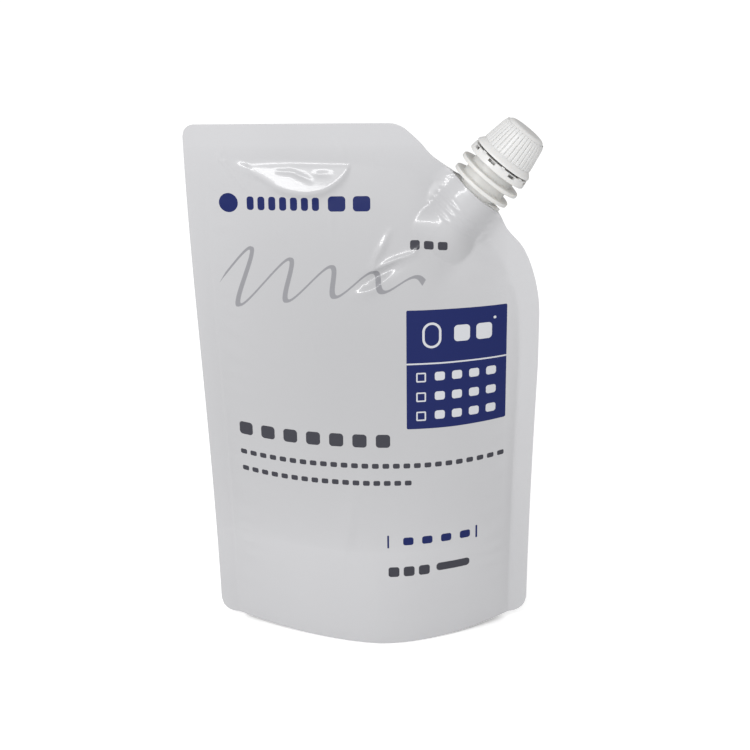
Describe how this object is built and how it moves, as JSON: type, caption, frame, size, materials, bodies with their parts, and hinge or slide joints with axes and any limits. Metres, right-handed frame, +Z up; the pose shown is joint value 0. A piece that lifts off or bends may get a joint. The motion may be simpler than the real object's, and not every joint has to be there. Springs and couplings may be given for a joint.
{
  "type": "corner spout stand-up pouch",
  "caption": "Filled stand-up film pouch with a slanted top corner, a welded pouring spout, a tamper band and a fluted screw cap.",
  "frame": {"origin": "middle of the flat patch under the bag, on the surface that it stands on", "axes": "+Z up, the printed front faces -Y, the spout is at the +X corner"},
  "size_m": [0.1106, 0.0348, 0.1743],
  "materials": {
    "pearl_film": "pearl white laminated film, glossy",
    "natural_polyethylene": "milky white moulded plastic, satin",
    "white_polypropylene": "milky white moulded plastic, satin",
    "liner_foam": "closed foam, matt"
  },
  "bodies": {
    "pouch": {"filled_pouch": "pearl_film", "spout": "natural_polyethylene", "tamper_band": "white_polypropylene"},
    "seal": {"cap_liner": "liner_foam"},
    "cap": {"screw_cap": "white_polypropylene"}
  },
  "joints": [
    {"name": "cap_lift", "type": "slide", "parent": "pouch", "child": "seal", "axis": [0.6293, 0, 0.7771], "range_m": [0, 0.015]},
    {"name": "cap_turn", "type": "hinge", "parent": "seal", "child": "cap", "pos_m": [0.03401, 0, 0.15116], "axis": [0.6293, 0, 0.7771], "range_deg": [0, 1085]}
  ],
  "couplings": [
    {"joint": "cap_turn", "follows": "cap_lift", "rad_per_m": 1256.6}
  ]
}
